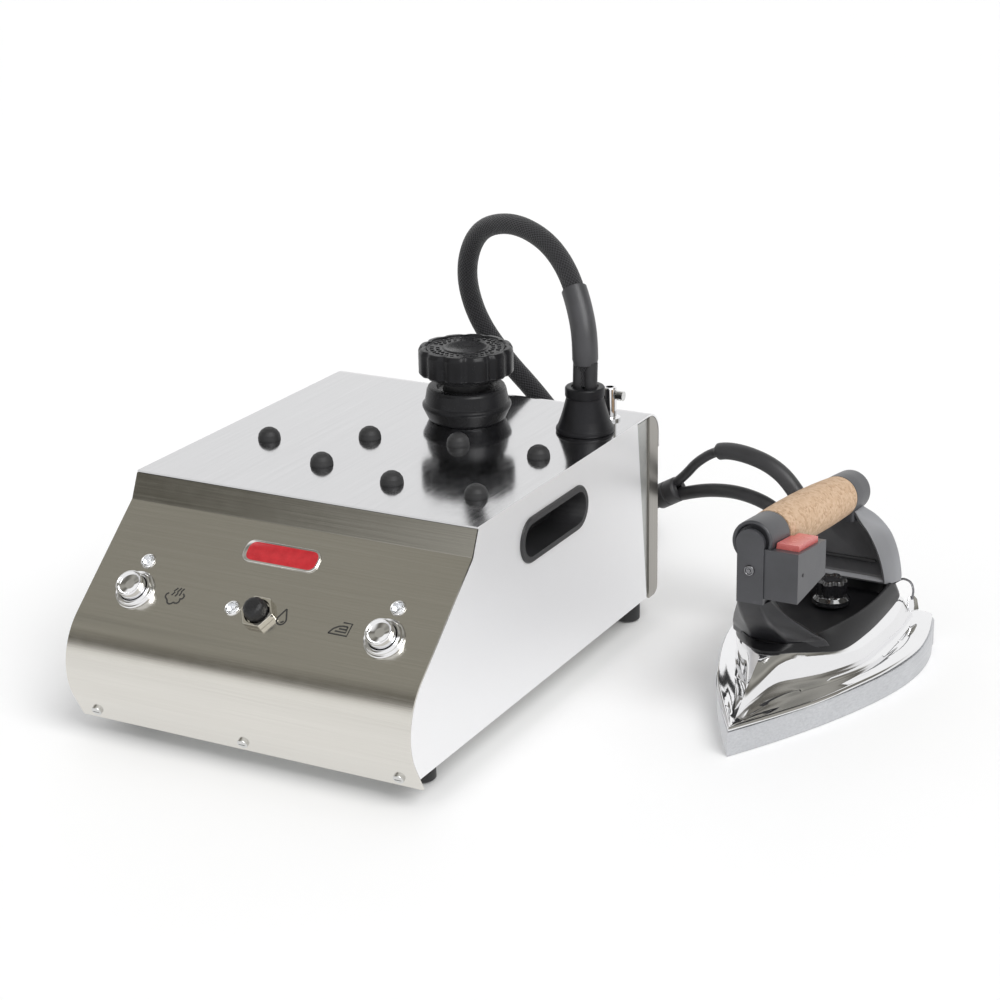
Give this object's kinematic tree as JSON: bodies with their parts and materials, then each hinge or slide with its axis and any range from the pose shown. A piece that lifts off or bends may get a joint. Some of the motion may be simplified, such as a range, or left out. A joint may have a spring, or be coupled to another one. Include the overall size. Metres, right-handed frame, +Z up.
{
  "type": "steam generator iron",
  "caption": "Steam generator ironing station: stainless boiler cabinet with sloping control panel, filler cap and steam hose, and a cork-handled iron standing beside it.",
  "frame": {"origin": "on the standing surface, under the middle of the cabinet and the iron together, the cord not counted", "axes": "+X across the cabinet towards the iron, +Y from the control panel to the rear, +Z up"},
  "size_m": [0.4167, 0.5145, 0.2634],
  "materials": {
    "polished_steel": "polished",
    "brushed_panel": "brushed",
    "chassis_steel": "plain",
    "fastener_steel": "polished",
    "black_plastic": "fine grain",
    "gloss_black_plastic": "gloss",
    "black_rubber": "matte",
    "badge_red": "gloss with a silver border",
    "chrome_trim": "polished",
    "lamp_clear": "clear dome",
    "boiler_steel": "satin",
    "brass_fittings": "turned",
    "sensor_plastic": "moulded",
    "board_green": "laminate",
    "sole_aluminium": "ground",
    "cork": "natural cork",
    "button_red": "satin",
    "hose_grey": "matte"
  },
  "bodies": {
    "cabinet": {"cover": "polished_steel", "front_panel": "brushed_panel", "rear_panel": "brushed_panel", "chassis": "chassis_steel", "handle_cup_right": "black_plastic", "handle_cup_left": "black_plastic", "rest_pads": "black_rubber", "feet": "black_rubber", "foot_screws": "fastener_steel", "cabinet_screws": "fastener_steel", "badge": "badge_red", "switch_bezels": "chrome_trim", "indicator_lamps": "lamp_clear", "reset_nut": "chrome_trim", "switch_bodies": "black_plastic", "boiler_shell": "boiler_steel", "boiler_brackets": "chassis_steel", "heating_element": "boiler_steel", "boiler_sensors": "sensor_plastic", "filler_neck": "brass_fittings", "boiler_collar": "black_plastic", "hose_cone": "black_plastic", "rod_socket": "chrome_trim", "rod_clamp_screw": "fastener_steel", "solenoid_valve": "brass_fittings", "solenoid_coil": "sensor_plastic", "steam_pipe": "brass_fittings", "control_board": "board_green", "mains_gland": "black_plastic", "hose_root": "hose_grey", "hose_sleeve": "hose_grey", "hose_main": "hose_grey", "hose_coil": "hose_grey", "hose_tail": "hose_grey"},
    "iron": {"soleplate": "sole_aluminium", "iron_cover": "chrome_trim", "iron_skirt": "black_plastic", "front_post": "black_plastic", "switch_box": "black_plastic", "microswitch": "black_plastic", "handle_caps": "black_plastic", "cork_grip": "cork", "tie_rod": "fastener_steel", "rear_shield": "black_plastic", "iron_thermostat": "sensor_plastic", "iron_screws": "fastener_steel", "lead_glands": "black_plastic", "y_sleeve": "black_rubber", "power_lead": "hose_grey", "power_lead_sleeve": "hose_grey", "steam_lead": "hose_grey"},
    "cap_seal": {"cap_gasket": "black_rubber"},
    "cap_core": {"cap_valve_core": "brass_fittings"},
    "cap": {"cap_knob": "black_plastic", "cap_plug": "brass_fittings"},
    "left_switch": {"switch_button_left": "chrome_trim"},
    "right_switch": {"switch_button_right": "chrome_trim"},
    "reset_button": {"reset_boot": "black_rubber"},
    "steam_button": {"steam_button": "button_red"},
    "thermostat_knob": {"thermostat_knob": "gloss_black_plastic"}
  },
  "joints": [
    {"name": "cap_lift_off", "type": "slide", "parent": "cabinet", "child": "cap_seal", "axis": [0, 0, 1], "range_m": [0, 0.06]},
    {"name": "cap_rise", "type": "slide", "parent": "cap_seal", "child": "cap_core", "axis": [0, 0, 1], "range_m": [0, 0.004]},
    {"name": "cap_turn", "type": "hinge", "parent": "cap_core", "child": "cap", "pos_m": [-0.07715, 0.07091, 0.18], "axis": [0, 0, 1], "range_deg": [0, 720]},
    {"name": "left_switch_press", "type": "slide", "parent": "cabinet", "child": "left_switch", "axis": [0, 0.6481, -0.7615], "range_m": [0, 0.003], "stiffness_N_per_m": 400, "springref_m": -0.002},
    {"name": "right_switch_press", "type": "slide", "parent": "cabinet", "child": "right_switch", "axis": [0, 0.6481, -0.7615], "range_m": [0, 0.003], "stiffness_N_per_m": 400, "springref_m": -0.002},
    {"name": "reset_press", "type": "slide", "parent": "cabinet", "child": "reset_button", "axis": [0, 0.6481, -0.7615], "range_m": [0, 0.0015], "stiffness_N_per_m": 500, "springref_m": -0.002},
    {"name": "iron_lift", "type": "slide", "parent": "cabinet", "child": "iron", "axis": [0, 0, 1], "range_m": [0, 0.12]},
    {"name": "steam_button_press", "type": "slide", "parent": "iron", "child": "steam_button", "axis": [0, -0.1253, -0.9921], "range_m": [0, 0.002], "stiffness_N_per_m": 400, "springref_m": -0.002},
    {"name": "thermostat_knob_turn", "type": "hinge", "parent": "iron", "child": "thermostat_knob", "pos_m": [0.15155, 0.11611, 0.04], "axis": [0, 0, 1], "range_deg": [0, 270]}
  ],
  "couplings": [
    {"joint": "cap_rise", "follows": "cap_turn", "m_per_rad": 0.00031831}
  ]
}
